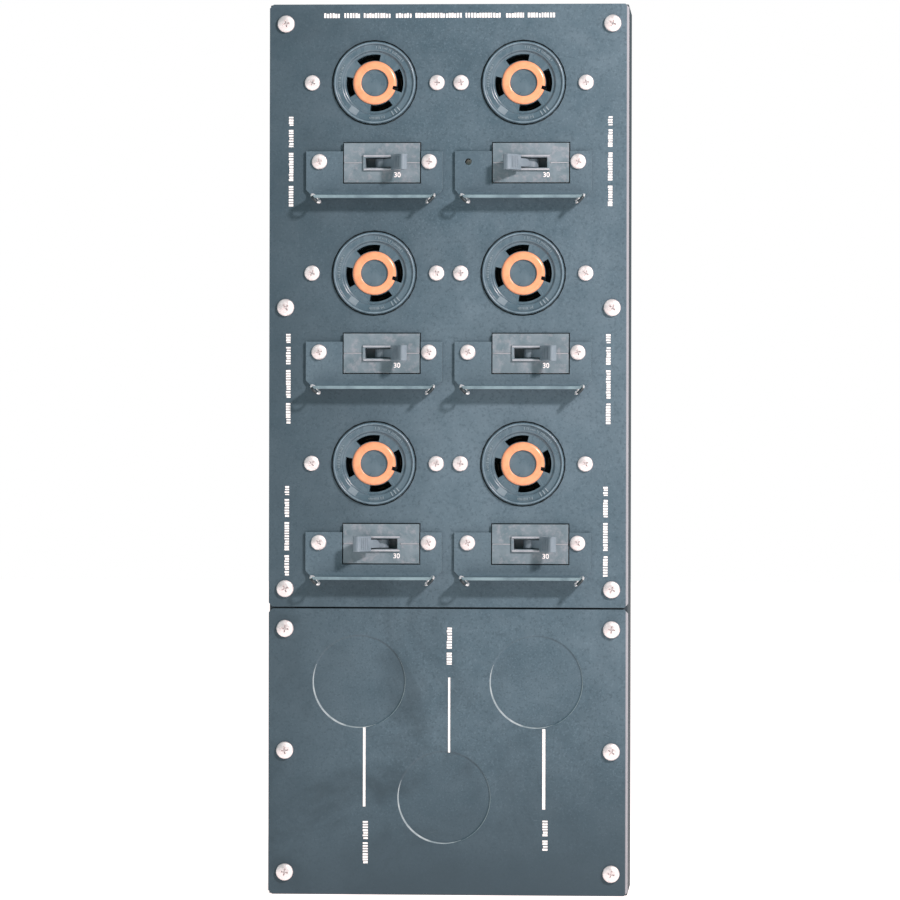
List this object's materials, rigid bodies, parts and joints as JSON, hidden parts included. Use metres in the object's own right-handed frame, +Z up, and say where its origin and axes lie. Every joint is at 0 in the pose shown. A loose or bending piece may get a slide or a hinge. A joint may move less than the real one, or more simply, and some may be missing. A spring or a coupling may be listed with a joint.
{
  "type": "power distribution panel",
  "caption": "Tall sheet-metal distribution panel with round locking outlets, guarded two-pole breakers and a blank conduit entry plate, on an open-backed chassis.",
  "frame": {"origin": "middle of the rear mounting plane, on the tie bar between the rails' rear flanges", "axes": "+Z up the panel's height, -Y out of the panel's front, +X to the right seen from the front"},
  "size_m": [0.24, 0.107, 0.594],
  "materials": {
    "plate_paint": "satin blue-grey powder coat",
    "chassis_paint": "satin blue-grey powder coat, slightly darker",
    "bracket_paint": "satin blue-grey powder coat",
    "zinc_screw": "bright zinc plate",
    "receptacle_nylon": "moulded grey nylon, satin",
    "orange_insert": "moulded orange nylon, satin",
    "plated_steel": "zinc-plated sheet steel",
    "breaker_plastic": "moulded phenolic, satin grey",
    "handle_plastic": "moulded phenolic, satin grey",
    "terminal_plastic": "black moulded phenolic",
    "brass_bar": "bare milled brass",
    "loom_sleeve": "black braided sleeve over stranded wires"
  },
  "bodies": {
    "panel": {"upper_plate": "plate_paint", "lower_plate": "plate_paint", "left_rail": "chassis_paint", "right_rail": "chassis_paint", "top_crossmember": "chassis_paint", "bottom_crossmember": "chassis_paint", "middle_crossmember": "chassis_paint", "rear_tie_bar": "chassis_paint", "plate_screw_left_1": "zinc_screw", "plate_screw_left_2": "zinc_screw", "plate_screw_left_3": "zinc_screw", "plate_screw_left_4": "zinc_screw", "plate_screw_left_5": "zinc_screw", "plate_screw_left_6": "zinc_screw", "plate_screw_right_1": "zinc_screw", "plate_screw_right_2": "zinc_screw", "plate_screw_right_3": "zinc_screw", "plate_screw_right_4": "zinc_screw", "plate_screw_right_5": "zinc_screw", "plate_screw_right_6": "zinc_screw", "receptacle_body_1": "receptacle_nylon", "receptacle_ring_1": "orange_insert", "receptacle_strap_1": "plated_steel", "breaker_case_1": "breaker_plastic", "breaker_bracket_1": "bracket_paint", "receptacle_body_2": "receptacle_nylon", "receptacle_ring_2": "orange_insert", "receptacle_strap_2": "plated_steel", "breaker_case_2": "breaker_plastic", "breaker_bracket_2": "bracket_paint", "receptacle_body_3": "receptacle_nylon", "receptacle_ring_3": "orange_insert", "receptacle_strap_3": "plated_steel", "breaker_case_3": "breaker_plastic", "breaker_bracket_3": "bracket_paint", "receptacle_body_4": "receptacle_nylon", "receptacle_ring_4": "orange_insert", "receptacle_strap_4": "plated_steel", "breaker_case_4": "breaker_plastic", "breaker_bracket_4": "bracket_paint", "receptacle_body_5": "receptacle_nylon", "receptacle_ring_5": "orange_insert", "receptacle_strap_5": "plated_steel", "breaker_case_5": "breaker_plastic", "breaker_bracket_5": "bracket_paint", "receptacle_body_6": "receptacle_nylon", "receptacle_ring_6": "orange_insert", "receptacle_strap_6": "plated_steel", "breaker_case_6": "breaker_plastic", "breaker_bracket_6": "bracket_paint", "terminal_plate": "plated_steel", "terminal_block": "terminal_plastic", "ground_bar": "brass_bar", "wiring_loom": "loom_sleeve"},
    "handle_1": {"breaker_handle_1": "handle_plastic"},
    "handle_2": {"breaker_handle_2": "handle_plastic"},
    "handle_3": {"breaker_handle_3": "handle_plastic"},
    "handle_4": {"breaker_handle_4": "handle_plastic"},
    "handle_5": {"breaker_handle_5": "handle_plastic"},
    "handle_6": {"breaker_handle_6": "handle_plastic"}
  },
  "joints": [
    {"name": "handle_1_throw", "type": "hinge", "parent": "panel", "child": "handle_1", "pos_m": [-0.0446, -0.0827, 0.1911], "axis": [0, 0, 1], "range_deg": [-70, 0]},
    {"name": "handle_2_throw", "type": "hinge", "parent": "panel", "child": "handle_2", "pos_m": [0.0548, -0.0827, 0.1911], "axis": [0, 0, 1], "range_deg": [0, 70]},
    {"name": "handle_3_throw", "type": "hinge", "parent": "panel", "child": "handle_3", "pos_m": [-0.0446, -0.0827, 0.0641], "axis": [0, 0, 1], "range_deg": [-70, 0]},
    {"name": "handle_4_throw", "type": "hinge", "parent": "panel", "child": "handle_4", "pos_m": [0.0548, -0.0827, 0.0641], "axis": [0, 0, 1], "range_deg": [-70, 0]},
    {"name": "handle_5_throw", "type": "hinge", "parent": "panel", "child": "handle_5", "pos_m": [-0.0446, -0.0827, -0.0629], "axis": [0, 0, 1], "range_deg": [0, 70]},
    {"name": "handle_6_throw", "type": "hinge", "parent": "panel", "child": "handle_6", "pos_m": [0.0548, -0.0827, -0.0629], "axis": [0, 0, 1], "range_deg": [-70, 0]}
  ]
}
